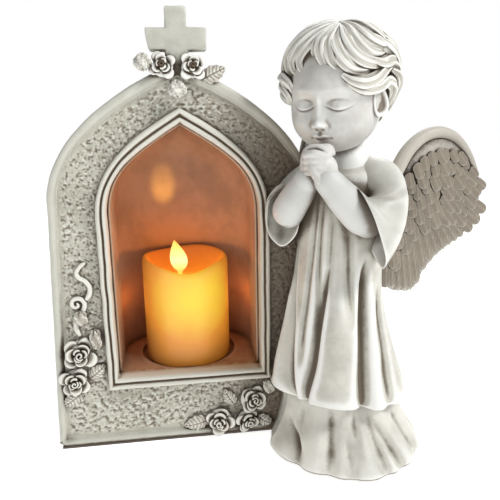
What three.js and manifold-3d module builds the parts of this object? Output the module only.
// Resin angel figurine: an arched chapel with a candle niche, and a praying cherub standing at its corner.
// Millimetres, +Z up. The origin lies under the felt sheet, straight below the candle.
// X runs along the chapel's front to the viewer's right, and the front faces -Y.

import * as THREE from 'three';
import { mergeVertices } from 'three/addons/utils/BufferGeometryUtils.js';
import { ConvexGeometry } from 'three/addons/geometries/ConvexGeometry.js';
import Module from 'manifold-3d';

const wasm = await Module();
wasm.setup();

// ---------------------------------------------------------------- driving dimensions

const SEAM = 0.3;              // glue line between two pieces that touch
const FELT = 1.2;              // felt sheet under everything
const BASE_Z = FELT + SEAM;    // underside of every casting

const CHAPEL_HALF_FOOT = 74;   // half width on the ground
const CHAPEL_TAPER = 6.4;      // each side leans in by this much up to the spring
const CHAPEL_SPRING_Z = 138;   // where the straight sides turn into the arch
const CHAPEL_APEX_Z = 205;
const CHAPEL_FRONT = -35;
const CHAPEL_DEPTH = 73;
const CHAPEL_WALL = 5;
const RIM_WIDTH = 4.5;         // smooth rim around the hammered panel
const RIM_PROUD = 2.5;
const PANEL_THICK = 5.5;
const BACK_PLATE = 4;

const WINDOW_HALF = 44.5;      // outside of the window moulding
const WINDOW_FOOT_Z = 34.6;
const WINDOW_SPRING_Z = 128;
const WINDOW_APEX_Z = 182.8;
const MOULDING_WIDTH = 5.3;
const MOULDING_PROUD = 2.2;    // past the rim
const BEAD_WIDTH = 2.3;        // each of the moulding's two beads
const GROOVE_DEEP = 1.6;

const NICHE_WALL = 3;
const NICHE_BASE = 2;          // plate under the niche's floor
const NICHE_STRAIGHT = 2;      // the side walls run straight back to here
const CANDLE_R = 25;
const CANDLE_HIGH = 60.5;      // to the top of the rim
const CANDLE_RECESS = 2.2;     // how deep the candle stands in the floor
const RECESS_PLAY = 2.6;       // round the candle

const CROSS_THICK = 10;
const CROSS_STEM = 10.5;
const CROSS_FOOT_FLARE = 0.7;
const CROSS_HALF_ARM = 14.6;
const CROSS_ARM_ABOVE = 4.5;   // from the chapel's apex to the underside of the arms
const CROSS_ARM_HIGH = 10.5;
const CROSS_HEAD_HIGH = 9.5;   // above the arms

const HEM_Z = 31;              // lower edge of the robe
const COLLAR_Z = 157.5;
const NECK_R = 8.6;
const SKIRT_R = 38.5;
const HEAD_NOD = 10;           // degrees, chin towards the hands
const WING_TURN = 50;          // degrees, each wing from the figure's side towards its back
const WING_THICK = 5;
const DOWEL_R = 1.2;
const ANGEL_TURN = -38;        // degrees, the figure faces the candle's side

const WAX_WALL = 2;
const DISH_DEEP = 12.5;        // melted hollow in the candle's top
const RIM_DIP = 6;             // the rim's low side, at the front
const FLAME_X = -3.2;          // the flame stands a little off the candle's axis
const FLAME_Y = -3;
const FLAME_THICK = 1.4;
const FLAME_HIGH = 22;         // above the dish
const PIVOT_BELOW_DISH = 5.5;
const PIVOT_WIRE_R = 0.4;
const PIVOT_PLAY = 0.15;
const PLASTIC = 1.6;           // wall of the candle's plastic base
const BASE_CUP_HIGH = 10;
const CELL_R = 12.25;          // 24.5 mm coin cell
const CELL_HIGH = 5;
const SWITCH_TRAVEL = 3;
const SWITCH_KNOB = 3.4;

// ---------------------------------------------------------------- places worked out from them

const CHAPEL_BACK = CHAPEL_FRONT + CHAPEL_DEPTH;
const panelFront = CHAPEL_FRONT + RIM_PROUD;
const panelBack = panelFront + PANEL_THICK;
const backPlateFront = CHAPEL_BACK - BACK_PLATE;
const nicheBack = backPlateFront - NICHE_WALL - 1;
const nicheHalf = WINDOW_HALF - MOULDING_WIDTH;
const floorZ = WINDOW_FOOT_Z + 1.2 * MOULDING_WIDTH;
const recessZ = floorZ - CANDLE_RECESS;
const mouldingFront = CHAPEL_FRONT - MOULDING_PROUD;
const stripX = (WINDOW_HALF + CHAPEL_HALF_FOOT) / 2;   // middle of the panel beside the window
const angelX = CHAPEL_HALF_FOOT + 11;                  // the figure's own frame: origin between its feet,
const angelY = CHAPEL_FRONT - 10;                      // +X to its left hand, facing -Y
const degrees = Math.PI / 180;

// ---------------------------------------------------------------- shared tools

function finish(red, green, blue, roughness, metalness = 0) {
  const color = new THREE.Color().setRGB(red, green, blue);
  return new THREE.MeshStandardMaterial({ color, roughness, metalness });
}

const resin = finish(0.62, 0.6, 0.53, 0.62);
const paleResin = finish(0.78, 0.78, 0.74, 0.5);
const wax = finish(0.82, 0.5, 0.19, 0.45);
const glow = finish(1, 0.66, 0.2, 0.3);
const felt = finish(0.03, 0.02, 0.015, 0.95);
const steel = finish(0.32, 0.32, 0.32, 0.35, 1);
const copper = finish(0.4, 0.1, 0.03, 0.4, 1);
const blackPlastic = finish(0.012, 0.012, 0.012, 0.5);
const whitePlastic = finish(0.69, 0.66, 0.58, 0.45);
const greenBoard = finish(0.02, 0.1, 0.04, 0.5);

const figurine = new THREE.Group();
const angel = new THREE.Group();
angel.position.set(angelX, angelY, 0);
angel.rotation.z = ANGEL_TURN * degrees;
figurine.add(angel);

// A closed geometry as a boolean solid, with its faces turned outwards.
function solid(geometry) {
  const bare = geometry.clone();
  bare.deleteAttribute('normal');
  bare.deleteAttribute('uv');
  const merged = mergeVertices(bare, 1e-4);
  const points = merged.attributes.position.array;
  const corners = merged.index.array;
  const triangles = [];
  let volume = 0;
  for (let i = 0; i < corners.length; i += 3) {
    const [a, b, c] = [corners[i], corners[i + 1], corners[i + 2]];
    if (a !== b && b !== c && c !== a) {
      triangles.push([a, b, c]);
      const [p, q, r] = [a, b, c].map((k) => new THREE.Vector3().fromArray(points, 3 * k));
      volume += p.dot(q.cross(r));
    }
  }
  const facing = volume > 0 ? triangles : triangles.map(([a, b, c]) => [a, c, b]);
  const vertProperties = new Float32Array(points);
  const triVerts = new Uint32Array(facing.flat());
  return new wasm.Manifold(new wasm.Mesh({ numProp: 3, vertProperties, triVerts }));
}

// Adds a solid to the model as a named piece.
function part(name, body, material, group = figurine) {
  const mesh = body.getMesh();
  const geometry = new THREE.BufferGeometry();
  geometry.setAttribute('position', new THREE.BufferAttribute(mesh.vertProperties, 3));
  geometry.setIndex(new THREE.BufferAttribute(mesh.triVerts, 1));
  geometry.computeVertexNormals();
  const piece = new THREE.Mesh(geometry, material);
  piece.name = name;
  group.add(piece);
}

// Trimming can leave a sliver beside the piece: this keeps the piece.
function mainBody(body) {
  return body.decompose().sort((a, b) => b.volume() - a.volume())[0];
}

// A shape drawn as seen from the front, made a slab between two depths.
function slab(shape, front, back, curveSegments = 7) {
  const options = { depth: back - front, bevelEnabled: false, curveSegments };
  return solid(new THREE.ExtrudeGeometry(shape, options).rotateX(Math.PI / 2).translate(0, back, 0));
}

// A shape drawn in plan, made a slab between two heights.
function plate(shape, low, high, curveSegments = 9) {
  const options = { depth: high - low, bevelEnabled: false, curveSegments };
  return solid(new THREE.ExtrudeGeometry(shape, options).translate(0, 0, low));
}

function disc(x, y, low, high, radius, sides = 24) {
  const geometry = new THREE.CylinderGeometry(radius, radius, high - low, sides);
  return solid(geometry.rotateX(Math.PI / 2).translate(x, y, (low + high) / 2));
}

function box(x0, x1, y0, y1, z0, z1) {
  const geometry = new THREE.BoxGeometry(x1 - x0, y1 - y0, z1 - z0);
  return solid(geometry.translate((x0 + x1) / 2, (y0 + y1) / 2, (z0 + z1) / 2));
}

function rod(from, to, radius, sides = 10) {
  const run = new THREE.Vector3(...to).sub(new THREE.Vector3(...from));
  const up = new THREE.Vector3(0, 1, 0);
  const turn = new THREE.Quaternion().setFromUnitVectors(up, run.clone().normalize());
  const geometry = new THREE.CylinderGeometry(radius, radius, run.length(), sides);
  return solid(geometry.translate(0, run.length() / 2, 0).applyQuaternion(turn).translate(...from));
}

function egg(centre, radii, across = 16, down = 10) {
  const geometry = new THREE.SphereGeometry(1, across, down).rotateX(Math.PI / 2);
  return solid(geometry.scale(...radii).translate(...centre));
}

// The skin stretched over a few balls, each [x, y, z, radius].
function stretched(balls, grow = 0, across = 10, down = 6) {
  const points = [];
  for (const [x, y, z, radius] of balls) {
    const ball = new THREE.SphereGeometry(radius + grow, across, down).rotateX(Math.PI / 2);
    const spots = ball.translate(x, y, z).attributes.position;
    for (let i = 0; i < spots.count; i += 1) points.push(new THREE.Vector3().fromBufferAttribute(spots, i));
  }
  return solid(new ConvexGeometry(points));
}

// A geometry whose vertices are moved by a rule (x, y, z) => [x, y, z].
function reshaped(geometry, rule) {
  const spots = geometry.attributes.position;
  for (let i = 0; i < spots.count; i += 1) {
    spots.setXYZ(i, ...rule(spots.getX(i), spots.getY(i), spots.getZ(i)));
  }
  return solid(geometry);
}

// A form turned about the vertical from [radius, height] rows.
function turned(profile, sides, rule = (x, y, z) => [x, y, z]) {
  const outline = profile.map(([r, z]) => new THREE.Vector2(r, z));
  return reshaped(new THREE.LatheGeometry(outline, sides).rotateX(Math.PI / 2), rule);
}

// Straight-line reading of a short table of [height, value] rows.
function reading(table, height) {
  const next = table.findIndex(([z]) => z > height);
  if (next === 0) return table[0][1];
  if (next < 0) return table[table.length - 1][1];
  const [[z0, v0], [z1, v1]] = [table[next - 1], table[next]];
  return v0 + ((v1 - v0) * (height - z0)) / (z1 - z0);
}

// ---------------------------------------------------------------- chapel

// One pointed outline as seen from the front: straight sides up to the spring, then two curves to the apex.
function pointedOutline(footHalf, foot, springHalf, spring, apex, shoulder) {
  const lean = 0.12 * (footHalf - springHalf);
  const low = [springHalf - 2 * lean, spring + 22];
  const high = [0.72 * springHalf, apex - shoulder];
  const shape = new THREE.Shape();
  shape.moveTo(-footHalf, foot);
  shape.lineTo(footHalf, foot);
  shape.lineTo(springHalf, spring);
  shape.bezierCurveTo(...low, ...high, 0, apex);
  shape.bezierCurveTo(-high[0], high[1], -low[0], low[1], -springHalf, spring);
  shape.closePath();
  return shape;
}

// The chapel's outline, a given distance inside its outer edge.
function chapelOutline(inset, foot = BASE_Z) {
  const footHalf = CHAPEL_HALF_FOOT - inset;
  const springHalf = footHalf - CHAPEL_TAPER;
  return pointedOutline(footHalf, foot, springHalf, CHAPEL_SPRING_Z, CHAPEL_APEX_Z - 1.35 * inset, 21);
}

// The window's outline, a given distance inside the moulding's outer edge.
function windowOutline(inset) {
  const half = WINDOW_HALF - inset;
  const foot = WINDOW_FOOT_Z + 1.2 * inset;
  return pointedOutline(half, foot, half, WINDOW_SPRING_Z, WINDOW_APEX_Z - 1.35 * inset, 17);
}

const crossY = CHAPEL_FRONT + CROSS_THICK / 2;
const crossPinLow = CHAPEL_APEX_Z - 3.5;
const crossPinHigh = CHAPEL_APEX_Z + 12;
const crossPinHole = disc(0, crossY, crossPinLow - SEAM, crossPinHigh + SEAM, DOWEL_R + SEAM, 10);

const hollow = slab(chapelOutline(CHAPEL_WALL, BASE_Z + CHAPEL_WALL), panelBack, CHAPEL_BACK + 1);
part('chapel_shell', slab(chapelOutline(0), CHAPEL_FRONT, CHAPEL_BACK)
  .subtract(slab(chapelOutline(RIM_WIDTH, BASE_Z - 1), CHAPEL_FRONT - 1, panelFront))
  .subtract(slab(windowOutline(-SEAM), CHAPEL_FRONT - 1, panelBack + 1))
  .subtract(hollow)
  .subtract(crossPinHole), resin);

const backOutline = chapelOutline(CHAPEL_WALL + SEAM, BASE_Z + CHAPEL_WALL + SEAM);
part('chapel_back', slab(backOutline, backPlateFront, CHAPEL_BACK), resin);

// The moulding: an outer bead, a lower flat between, and an inner bead, all round the window.
const grooveFloor = mouldingFront + GROOVE_DEEP;
const innerOutline = windowOutline(MOULDING_WIDTH - BEAD_WIDTH);
const innerBead = slab(innerOutline, grooveFloor - GROOVE_DEEP / 2, grooveFloor + 1);
part('window_moulding', slab(windowOutline(0), mouldingFront, panelBack + SEAM)
  .subtract(slab(windowOutline(BEAD_WIDTH), mouldingFront - 1, grooveFloor))
  .add(innerBead)
  .subtract(slab(windowOutline(MOULDING_WIDTH), mouldingFront - 1, panelBack + 1)), resin);

// The niche's plan is a U: straight sides and a rounded back.
function nichePlan(wall, front) {
  const half = nicheHalf + wall;
  const plan = new THREE.Shape();
  plan.moveTo(-half, front);
  plan.lineTo(half, front);
  plan.lineTo(half, NICHE_STRAIGHT);
  plan.absellipse(0, NICHE_STRAIGHT, half, nicheBack + wall - NICHE_STRAIGHT, 0, Math.PI, false);
  plan.closePath();
  return plan;
}

// A pointed vault cut off by the rounded back.
function nicheVault(wall, front, low) {
  const vault = slab(windowOutline(MOULDING_WIDTH - wall), front, CHAPEL_BACK);
  return vault.intersect(plate(nichePlan(wall, front), low, CHAPEL_APEX_Z));
}

// The vault stands on the floor, whose round hole and the plate below make the candle's recess.
const nicheFront = panelBack + 2 * SEAM;
part('niche_liner', nicheVault(NICHE_WALL, nicheFront, floorZ + SEAM)
  .subtract(nicheVault(0, nicheFront - 1, floorZ)), resin);
part('niche_floor', plate(nichePlan(NICHE_WALL, nicheFront), recessZ + SEAM, floorZ)
  .subtract(disc(0, 0, recessZ, floorZ + 1, CANDLE_R + RECESS_PLAY, 36)), resin);
part('niche_base', plate(nichePlan(NICHE_WALL, nicheFront), recessZ - NICHE_BASE, recessZ), resin);

// The cross straddles the chapel's ridge on a steel pin.
function crossBar(half, low, high) {
  return box(-half, half, CHAPEL_FRONT, CHAPEL_FRONT + CROSS_THICK, low, high);
}

const armLow = CHAPEL_APEX_Z + CROSS_ARM_ABOVE;
const armHigh = armLow + CROSS_ARM_HIGH;
part('cross', crossBar(CROSS_STEM / 2 + CROSS_FOOT_FLARE, CHAPEL_APEX_Z - 9, armLow + 1)
  .add(crossBar(CROSS_STEM / 2, armLow, armHigh + CROSS_HEAD_HIGH))
  .add(crossBar(CROSS_HALF_ARM, armLow, armHigh))
  .subtract(slab(chapelOutline(-SEAM), CHAPEL_FRONT - 1, CHAPEL_BACK))
  .subtract(crossPinHole), resin);
part('cross_pin', disc(0, crossY, crossPinLow, crossPinHigh, DOWEL_R, 10), steel);

// ---------------------------------------------------------------- figure: dress

// Centre and stretch of a level section of the dress, by height.
const SECTION_X = [[0, 3], [HEM_Z, -4.5], [90, -4], [130, -3], [COLLAR_Z, 0]];
const SECTION_Y = [[0, 0], [HEM_Z, -1], [90, -5.5], [130, -4], [COLLAR_Z, -3]];
const SECTION_WIDE = [[0, 1], [HEM_Z, 1.06], [90, 1], [120, 1.08], [148, 1.12], [COLLAR_Z, 1]];
const SECTION_DEEP = [[0, 0.99], [HEM_Z, 0.91], [90, 0.94], [120, 0.88], [148, 0.84], [COLLAR_Z, 1]];

// Cloth hung about the sections' centres: `count` folds, whose depth is a share of the radius.
function draped(profile, sides, count = 0, depthAt = () => 0, phase = 0) {
  return turned(profile, sides, (x, y, z) => {
    const turn = Math.atan2(y, x);
    const wave = Math.cos(count * turn + phase) + 0.5 * Math.cos((2 * count - 3) * turn + 2 * phase);
    const fold = 1 + depthAt(z) * wave;
    const wide = fold * reading(SECTION_WIDE, z);
    const deep = fold * reading(SECTION_DEEP, z);
    return [reading(SECTION_X, z) + x * wide, reading(SECTION_Y, z) + y * deep, z];
  });
}

// The underskirt's top end sits in a socket in the underside of the robe.
const SOCKET_R = 28;
const socketTop = HEM_Z + 11;

function underskirtBody(grow) {
  const profile = [[0, BASE_Z - grow], [SKIRT_R + grow, BASE_Z - grow], [SKIRT_R - 0.5 + grow, 5],
    [SKIRT_R - 2.9 + grow, 14], [SKIRT_R - 6.3 + grow, 24], [SOCKET_R + 1.6 + grow, HEM_Z],
    [SOCKET_R - 0.6 + grow, socketTop - SEAM + grow], [0, socketTop - SEAM + grow]];
  return draped(profile, 39, 13, (z) => 0.034 * Math.max(0, 1 - z / HEM_Z), 0.8);
}

function robeBody(grow) {
  const side = [[35.2, HEM_Z - grow], [36, HEM_Z + 2.5], [34, 44], [30.6, 57], [26.4, 74], [23.2, 94],
    [21.2, 112], [19.8, 130], [17.6, 146], [14, 152], [NECK_R + 1.6, 155.4], [NECK_R, COLLAR_Z]];
  const profile = [[0, HEM_Z - grow], ...side.map(([r, z]) => [r + grow, z]), [0, COLLAR_Z]];
  return draped(profile, 36, 11, (z) => 0.05 * Math.max(0, Math.min(1, (118 - z) / 60)), 1.2);
}

// A solid of the chapel's frame, moved into the figure's frame.
function intoAngel(body) {
  return body.translate(-angelX, -angelY, 0).rotate([0, 0, -ANGEL_TURN]);
}

// What the figure, which stands against the chapel, has to stay clear of.
const chapelClear = intoAngel(slab(chapelOutline(-SEAM, 0), CHAPEL_FRONT - SEAM, CHAPEL_BACK + 50)
  .add(slab(windowOutline(-SEAM), mouldingFront - SEAM, CHAPEL_FRONT)));
const robeClear = robeBody(SEAM);
const socket = draped([[0, HEM_Z - 3], [SOCKET_R + SEAM + 2.5, HEM_Z - 3], [SOCKET_R + SEAM, socketTop],
  [0, socketTop]], 36);

// Each wing hangs on a steel pin that runs from the figure's back into the wing.
const PIN_Z = 128;
const PIN_LONG = 22;
const BACKBONE_X = -3.5;
const sides = ['left', 'right'];

function wingPin(way, radius, over) {
  const along = [way * Math.cos(WING_TURN * degrees), Math.sin(WING_TURN * degrees)];
  const at = (far) => [BACKBONE_X + 8 * way + far * along[0], 9 + far * along[1], PIN_Z];
  return rod(at(-over), at(PIN_LONG + over), radius);
}

const wayOf = { left: 1, right: -1 };
const pinHoles = { left: wingPin(1, DOWEL_R + SEAM, SEAM), right: wingPin(-1, DOWEL_R + SEAM, SEAM) };

part('underskirt', underskirtBody(0).subtract(chapelClear), resin, angel);
part('robe', robeBody(0).subtract(socket).subtract(chapelClear).subtract(pinHoles.left)
  .subtract(pinHoles.right), resin, angel);

// ---------------------------------------------------------------- figure: arms, hands, sleeves

// Balls along each limb, [x, y, z, radius]; the left arm is at +X.
const ELBOW = { left: [20, -24, 122, 8.8], right: [-28, -26, 124, 8.8] };
const WRIST = { left: [1.5, -34.5, 149, 6.4], right: [-8.8, -33.5, 149.5, 6.2] };
const SLEEVE = {
  left: [[17.5, -3, 143.5, 9.5], [14, -23, 136, 5], [25, -14, 126, 6.5], [23, -19, 109, 5],
    [16, -22, 113, 4]],
  right: [[-23.5, -5, 143, 9], [-25, -26, 141, 4], [-33.5, -20, 128, 6], [-30, -24, 113, 4.5],
    [-24, -24, 114, 4]],
};
const PALMS = [[-8.6, -34, 153, 6.4], [0.6, -34.5, 153, 6.6], [-6.6, -35.5, 161, 4.6],
  [-1.2, -35.5, 161, 4.6]];

const handsClear = stretched(PALMS, SEAM, 10, 7);
part('clasped_hands', stretched(PALMS, 0, 10, 7), paleResin, angel);

let armsClear = handsClear;
for (const side of sides) {
  const limb = [ELBOW[side], WRIST[side]];
  const forearm = stretched(limb).subtract(armsClear).subtract(robeClear).subtract(chapelClear);
  part(`${side}_forearm`, mainBody(forearm), paleResin, angel);
  armsClear = armsClear.add(stretched(limb, SEAM));
  const sleeve = stretched(SLEEVE[side]).subtract(armsClear).subtract(robeClear);
  part(`${side}_sleeve`, mainBody(sleeve.subtract(chapelClear)), resin, angel);
}

// ---------------------------------------------------------------- figure: head and hair

const HEAD = [-5, -7, 188];    // the head's middle, about which it is made upright and then nodded

function nodded(body) {
  return body.rotate([HEAD_NOD, 0, 0]).translate(...HEAD);
}

function headBody(grow) {
  const skull = egg([0, 1, 3], [24 + grow, 26 + grow, 25.5 + grow], 18, 12);
  const cheeks = egg([0, -7, -11], [19.5 + grow, 17 + grow, 15.5 + grow], 14, 9);
  const neck = rod([1, -2.5, COLLAR_Z - 10], [-3.5, -3.5, HEAD[2] - 10], NECK_R + grow, 16);
  return nodded(skull.add(cheeks)).add(neck);
}

const aboveCollar = box(-60, 60, -60, 60, COLLAR_Z + SEAM, 300);
part('head', headBody(0).intersect(aboveCollar).subtract(handsClear), paleResin, angel);

// The hair is one cap of thick locks with an opening for the face.
const hairCap = reshaped(new THREE.SphereGeometry(1, 20, 13).rotateX(Math.PI / 2), (x, y, z) => {
  const lock = 1 + 0.045 * Math.cos(9 * Math.atan2(y, x) + 5 * z) * Math.sqrt(Math.max(0, 1 - z * z));
  return [31 * x * lock, 29.5 * y * lock + 4, 27 * z * lock + 8];
});
const faceOpening = egg([0, -30, -12], [21.5, 24, 27], 16, 10);
const hair = nodded(hairCap.subtract(faceOpening)).subtract(headBody(SEAM)).subtract(robeClear);
part('hair', mainBody(hair.subtract(chapelClear)), resin, angel);

// ---------------------------------------------------------------- wings

// Seen square on: out from the root, and up. Leading edge, feather tips, then the long primaries.
const wingShape = new THREE.Shape();
wingShape.moveTo(3, 132);
wingShape.bezierCurveTo(12, 146, 20, 168, 38, 169.8);
wingShape.bezierCurveTo(50, 169.8, 60, 156, 64, 146);
wingShape.lineTo(71.5, 131.5);
wingShape.lineTo(66.5, 127);
wingShape.lineTo(66, 117);
wingShape.lineTo(60, 106);
wingShape.lineTo(50, 104);
wingShape.bezierCurveTo(40, 101, 28, 91, 26.8, 80);
wingShape.lineTo(22.5, 79.5);
wingShape.bezierCurveTo(18, 83, 10, 88, 3, 90);
wingShape.closePath();
const WING_ROOT = [12.2, 13.2];
const WING_EDGE = 1.2;         // bevel round the wing's outline

for (const side of sides) {
  const options = { depth: WING_THICK - 2 * WING_EDGE, bevelThickness: WING_EDGE, bevelSize: WING_EDGE,
    bevelOffset: -WING_EDGE, bevelSegments: 1, curveSegments: 6 };
  const blade = new THREE.ExtrudeGeometry(wingShape, options).rotateX(Math.PI / 2);
  const leftWing = solid(blade.translate(0, WING_THICK / 2 - WING_EDGE, 0))
    .rotate([0, 0, WING_TURN]).translate(...WING_ROOT, 0);
  const wing = wayOf[side] > 0 ? leftWing : leftWing.mirror([1, 0, 0]);
  const trimmed = wing.translate(BACKBONE_X, 0, 0).subtract(robeClear).subtract(pinHoles[side]);
  part(`${side}_wing`, mainBody(trimmed.subtract(chapelClear)), resin, angel);
  part(`${side}_wing_pin`, wingPin(wayOf[side], DOWEL_R, 0), steel, angel);
}

// ---------------------------------------------------------------- roses, leaves, buds, tendril

// A rose: a low dome ringed with petals, its flat back at depth `back`.
function rose(x, z, back, radius, grow = 0) {
  const r = radius + grow;
  const deep = 0.85 * radius + grow;
  const profile = [[0, 0], [0.8 * r, 0], [r, 0.25 * deep], [0.92 * r, 0.55 * deep], [0.62 * r, 0.8 * deep],
    [0.5 * r, 0.7 * deep], [0.3 * r, deep], [0, 0.92 * deep]];
  const petals = (px, py, pz) => {
    const lobe = 1 + 0.06 * Math.cos(5 * Math.atan2(py, px) + pz);
    return [px * lobe, py * lobe, pz];
  };
  return turned(profile, 15, petals).rotate([90, 0, 0]).translate(x, back, z);
}

const LEAF_THICK = 3;

function leaf(x, z, back, long, wide, roll, grow = 0) {
  const half = long / 2 + grow;
  const bulge = 0.72 * (wide + 2 * grow);
  const shape = new THREE.Shape();
  shape.moveTo(-half, 0);
  shape.quadraticCurveTo(-half / 3, -bulge, half, 0);
  shape.quadraticCurveTo(-half / 3, bulge, -half, 0);
  return slab(shape, -LEAF_THICK - grow, 0, 4).rotate([0, -roll, 0]).translate(x, back, z);
}

function bud(x, z, back, wide, high, grow = 0) {
  return egg([x, back - 0.75 * wide, z], [wide + grow, 0.75 * wide + grow, high + grow], 9, 6);
}

// Each spray is listed in the order it is laid: a later piece is trimmed to the ones before it.
const onPanel = panelFront - SEAM;
const onRim = CHAPEL_FRONT - SEAM;
const apex = CHAPEL_APEX_Z;
const tendrilEnd = [3.2 - stripX, 77];
const SPRAYS = [
  [
    ['rose_top_left', rose, [-7, apex - 2.6, onRim, 6.3]],
    ['rose_top_right', rose, [6.9, apex - 3.2, onRim, 6.3]],
    ['bud_top_left', bud, [-16.2, apex - 1, onRim, 4.2, 4]],
    ['leaf_top', leaf, [17.4, apex - 6, onRim, 13, 11, 25]],
    ['bud_top_low', bud, [-0.3, apex - 13.4, onRim, 4.4, 4]],
  ], [
    ['rose_side_upper', rose, [-stripX, 57, onPanel, 9]],
    ['rose_side_lower', rose, [-stripX - 3, 41.2, onPanel, 8]],
    ['leaf_side_right', leaf, [9.2 - stripX, 45.5, onPanel, 13, 9, 40]],
    ['leaf_side_low', leaf, [-stripX - 5.2, 29.6, onPanel, 14, 10, 215]],
    ['bud_side_left', bud, [...tendrilEnd, onPanel, 3.8, 3.8]],
    ['bud_side_right', bud, [10 - stripX, 64.6, onPanel, 3.4, 5.4]],
  ], [
    ['rose_front_upper', rose, [angelX - 51.2, 21.8, onPanel, 8.4]],
    ['rose_front_lower', rose, [angelX - 54.4, 9.6, onPanel, 7.4]],
    ['rose_front_left', rose, [angelX - 69.4, 10.6, onPanel, 8.2]],
    ['leaf_front_left', leaf, [angelX - 83.4, 9, onPanel, 14, 11, 190]],
    ['leaf_front_upper', leaf, [angelX - 64.4, 23.5, onPanel, 12, 8, 120]],
    ['bud_front_corner', bud, [angelX - 41.4, 29.6, onPanel, 3.6, 4.4]],
    ['leaf_front_low', leaf, [angelX - 43.8, 6.8, onPanel, 12, 9, 330]],
  ],
];

const figureClear = robeClear.add(underskirtBody(SEAM))
  .rotate([0, 0, ANGEL_TURN]).translate(angelX, angelY, 0);
const rimClear = slab(chapelOutline(-SEAM), CHAPEL_FRONT - SEAM, CHAPEL_BACK)
  .subtract(slab(chapelOutline(RIM_WIDTH + SEAM, BASE_Z - 9), CHAPEL_FRONT - 1, CHAPEL_BACK + 1));
const windowClear = slab(windowOutline(-SEAM), mouldingFront - SEAM, CHAPEL_BACK);
const aboveFelt = box(-200, 200, -200, 200, BASE_Z, 400);

for (const pieces of SPRAYS) {
  let laid = windowClear.add(rimClear).add(figureClear);
  for (const [name, make, sizes] of pieces) {
    part(name, mainBody(make(...sizes).intersect(aboveFelt).subtract(laid)), resin);
    laid = laid.add(make(...sizes, SEAM));
  }
}

// The tendril is a round stem that wanders down the panel beside the window to its bud.
const TENDRIL_R = 1.3;
const TENDRIL_ROUTE = [[7.8, 106.5], [2.9, 101.6], [6.7, 97], [8.7, 90.5], [5.7, 84.4], [3, 79.6],
  [-1.4, 75.6]];
const tendrilY = onPanel - TENDRIL_R;
const route = TENDRIL_ROUTE.map(([x, z]) => new THREE.Vector3(x - stripX, tendrilY, z));
const stem = new THREE.Shape().absarc(0, 0, TENDRIL_R, 0, 2 * Math.PI, false);
const extrudePath = new THREE.CatmullRomCurve3(route);
const tendril = solid(new THREE.ExtrudeGeometry(stem, { steps: 20, extrudePath, curveSegments: 3 }));
const tendrilClear = bud(...tendrilEnd, onPanel, 3.8, 3.8, SEAM).add(windowClear).add(rimClear);
part('vine_tendril', mainBody(tendril.subtract(tendrilClear)), resin);

// ---------------------------------------------------------------- candle: wax shell

const candleZ = recessZ + SEAM;
const rimZ = candleZ + CANDLE_HIGH;
const dishZ = rimZ - DISH_DEEP;
const pivotZ = dishZ - PIVOT_BELOW_DISH;

// The rim dips at the front; the dip fades out down the wall and in towards the dish.
function rimSag(x, y, z) {
  const turn = Math.atan2(y, x);
  const off = Math.atan2(Math.sin(turn + 1.45), Math.cos(turn + 1.45));
  const dip = RIM_DIP * Math.exp(-2.4 * off * off) + 0.7 * Math.cos(3 * turn);
  const share = Math.max(0, (z - dishZ) / DISH_DEEP) * Math.min(1, Math.hypot(x, y) / CANDLE_R);
  return [x, y, z - dip * share];
}

const waxWallProfile = [[0, candleZ], [CANDLE_R - 0.4, candleZ], [CANDLE_R, candleZ + 1],
  [CANDLE_R, rimZ - 6], [CANDLE_R - 0.3, rimZ - 1.2], [CANDLE_R - 1.4, rimZ]];
const dishProfile = [[CANDLE_R - 3.2, rimZ - 1.6], [CANDLE_R - 7, rimZ - 8], [CANDLE_R - 14, dishZ + 0.4],
  [0, dishZ]];
const insideR = CANDLE_R - WAX_WALL;
const insideProfile = [[0, candleZ - 1], [insideR, candleZ - 1], [insideR, dishZ - 1],
  [CANDLE_R - 9, dishZ - WAX_WALL - 0.2], [0, dishZ - WAX_WALL]];
const waxOuter = turned([...waxWallProfile, ...dishProfile], 30, rimSag);
const waxInner = turned(insideProfile, 30);
const flameSlot = box(FLAME_X - 5, FLAME_X + 5, FLAME_Y - 2, FLAME_Y + 2, dishZ - 6, dishZ + 3);
part('candle_shell', waxOuter.subtract(waxInner).subtract(flameSlot), wax);

// ---------------------------------------------------------------- candle: plastic base, battery, switch

const cupR = CANDLE_R - WAX_WALL - SEAM;
const cupTop = candleZ + BASE_CUP_HIGH;
const plateTop = candleZ + PLASTIC;
const doorR = CELL_R + 0.7;
const ringR = doorR + PLASTIC;
const BOSS_R = 2.4;
const bossX = cupR - PLASTIC - 3.5;
const switchY = -(ringR + cupR - PLASTIC) / 2;
const switchRoom = (cupR - PLASTIC - ringR) / 2;   // on each side of the switch
const slotDeep = 0.4 * switchRoom;
const knobDeep = slotDeep - SEAM;
const flangeDeep = 0.55 * switchRoom;

const slotHalf = (SWITCH_KNOB + SWITCH_TRAVEL) / 2 + SEAM;
let cup = disc(0, 0, candleZ, cupTop, cupR, 30)
  .subtract(disc(0, 0, plateTop, cupTop + 1, cupR - PLASTIC, 30))
  .add(disc(0, 0, candleZ, plateTop + CELL_HIGH, ringR, 24))
  .subtract(box(-slotHalf, slotHalf, switchY - slotDeep, switchY + slotDeep, candleZ - 1, plateTop + 1));
for (const x of [-bossX, bossX]) {
  cup = cup.add(disc(x, 0, candleZ + 0.5, cupTop - 0.5, BOSS_R, 12));
  cup = cup.subtract(disc(x, 0, cupTop - 7, cupTop + 1, 1.1, 8));
}
cup = cup.subtract(disc(0, 0, candleZ - 1, cupTop, doorR + SEAM, 24));
part('candle_base', mainBody(cup), whitePlastic);

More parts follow.
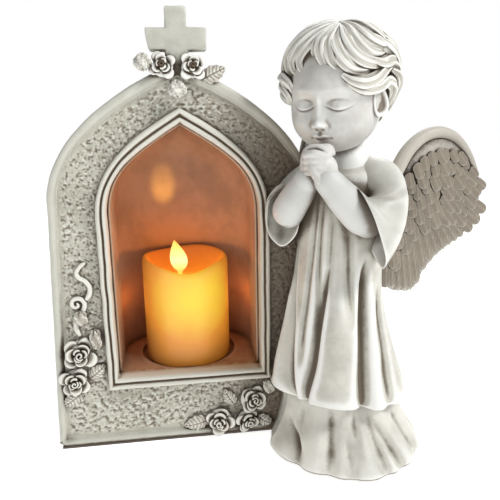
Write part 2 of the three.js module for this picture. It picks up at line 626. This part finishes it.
const coinSlot = box(-6, 6, -0.8, 0.8, candleZ - 1, candleZ + 0.7);
part('battery_door', disc(0, 0, candleZ, plateTop, doorR, 24).subtract(coinSlot), whitePlastic);
const cellZ = plateTop + SEAM;
const contactZ = cellZ + CELL_HIGH + SEAM;
part('coin_cell', disc(0, 0, cellZ, cellZ + CELL_HIGH, CELL_R, 24), steel);
const contactEnd = bossX - BOSS_R - 1.2;
part('contact_strip', box(-contactEnd, 3, -2, 2, contactZ, contactZ + 0.4), copper);

// The slider stands at one end of its slot; its flange runs on the inside of the base.
const knobX = -SWITCH_TRAVEL / 2;
const knobHalf = SWITCH_KNOB / 2;
const flangeZ = plateTop + SEAM;
const flangeHalf = knobHalf + 0.6;
const switchBack = switchY + flangeDeep;
const switchFront = switchY - flangeDeep;
const flange = box(knobX - flangeHalf, knobX + flangeHalf, switchFront, switchBack, flangeZ, flangeZ + 1.3);
const knob = box(knobX - knobHalf, knobX + knobHalf, switchY - knobDeep, switchY + knobDeep,
  candleZ + SEAM, flangeZ + 0.5);
part('switch_slider', flange.add(knob), blackPlastic);
const insideCup = disc(0, 0, candleZ, cupTop, cupR - PLASTIC - SEAM, 30);
part('switch_body', box(-4.6, 4.6, switchFront, switchBack, flangeZ + 1.6, flangeZ + 4.2)
  .intersect(insideCup), steel);

// ---------------------------------------------------------------- candle: board, tower, flame

const boardZ = cupTop + SEAM;
const boardTop = boardZ + 1.2;
let board = disc(0, 0, boardZ, boardTop, cupR - 2.3, 24);
for (const x of [-bossX, bossX]) board = board.subtract(disc(x, 0, boardZ - 1, boardTop + 1, 1.3, 8));
part('circuit_board', board, greenBoard);
for (const [i, x] of [-bossX, bossX].entries()) {
  const shank = disc(x, 0, cupTop - 6, boardTop + 1, 0.8, 8);
  part(`board_screw_${i + 1}`, shank.add(disc(x, 0, boardTop + SEAM, boardTop + 1.6, 1.9, 10)), steel);
}

// The tower that carries the swinging flame, standing on the circuit board.
const TOWER_R = 8.4;
const TOWER_WALL = 1.1;
const towerZ = boardTop + SEAM;
const towerTop = dishZ - WAX_WALL - 0.7;

// A rod across the tower at the pivot, reaching a given distance to each side.
function acrossTower(reach, radius) {
  return rod([FLAME_X, FLAME_Y - reach, pivotZ], [FLAME_X, FLAME_Y + reach, pivotZ], radius, 8);
}

part('mechanism_tower', disc(FLAME_X, FLAME_Y, towerZ, towerTop, TOWER_R, 20)
  .subtract(disc(FLAME_X, FLAME_Y, towerZ - 1, towerTop + 1, TOWER_R - TOWER_WALL, 20))
  .subtract(acrossTower(TOWER_R + 2, PIVOT_WIRE_R + SEAM)), blackPlastic);
part('pivot_wire', acrossTower(TOWER_R - 0.2, PIVOT_WIRE_R), steel);
part('drive_coil', disc(FLAME_X, FLAME_Y, towerZ, towerZ + 5, 5, 14)
  .subtract(disc(FLAME_X, FLAME_Y, towerZ - 1, towerZ + 6, 2, 10)), copper);
part('led', disc(FLAME_X, FLAME_Y + 4.4, pivotZ - 8, pivotZ - 3, 1.6, 10), glow);

// The flame hangs on the wire with a magnet under it, and leans to the left as it stands.
const magnetZ = pivotZ - 17;
const STEM_HALF = 1.1;
const flameShape = new THREE.Shape();
flameShape.moveTo(-STEM_HALF, magnetZ + SEAM);
flameShape.lineTo(STEM_HALF, magnetZ + SEAM);
flameShape.lineTo(STEM_HALF, dishZ - 0.5);
flameShape.bezierCurveTo(4.2, dishZ + 2, 5, dishZ + 8, 1.5, dishZ + 14);
flameShape.quadraticCurveTo(-1.5, dishZ + 18, -3.6, dishZ + FLAME_HIGH);
flameShape.bezierCurveTo(-5, dishZ + 15, -4.6, dishZ + 4, -STEM_HALF, dishZ - 0.5);
flameShape.closePath();
const flameBody = slab(flameShape, -FLAME_THICK / 2, FLAME_THICK / 2, 5).translate(FLAME_X, FLAME_Y, 0);
part('flame', flameBody.subtract(acrossTower(5, PIVOT_WIRE_R + PIVOT_PLAY)), glow);
const MAGNET_SHIFT = 0.25;     // sets the balance, so that the leaning flame hangs upright
part('flame_magnet', disc(FLAME_X + MAGNET_SHIFT, FLAME_Y, magnetZ - 3, magnetZ, 2.6, 12), steel);

// ---------------------------------------------------------------- felt

const FELT_INSET = 1.5;
const feltHalf = CHAPEL_HALF_FOOT - FELT_INSET;
const feltShape = new THREE.Shape();
feltShape.moveTo(-feltHalf, CHAPEL_FRONT + FELT_INSET);
feltShape.lineTo(feltHalf, CHAPEL_FRONT + FELT_INSET);
feltShape.lineTo(feltHalf, CHAPEL_BACK - FELT_INSET);
feltShape.lineTo(-feltHalf, CHAPEL_BACK - FELT_INSET);
feltShape.closePath();
const skirtX = angelX + SECTION_X[0][1] * Math.cos(ANGEL_TURN * degrees);
const skirtY = angelY + SECTION_X[0][1] * Math.sin(ANGEL_TURN * degrees);
const feltUnderSkirt = disc(skirtX, skirtY, 0, FELT, SKIRT_R - FELT_INSET, 36);
part('base_felt', plate(feltShape, 0, FELT).add(feltUnderSkirt), felt);

export default figurine;
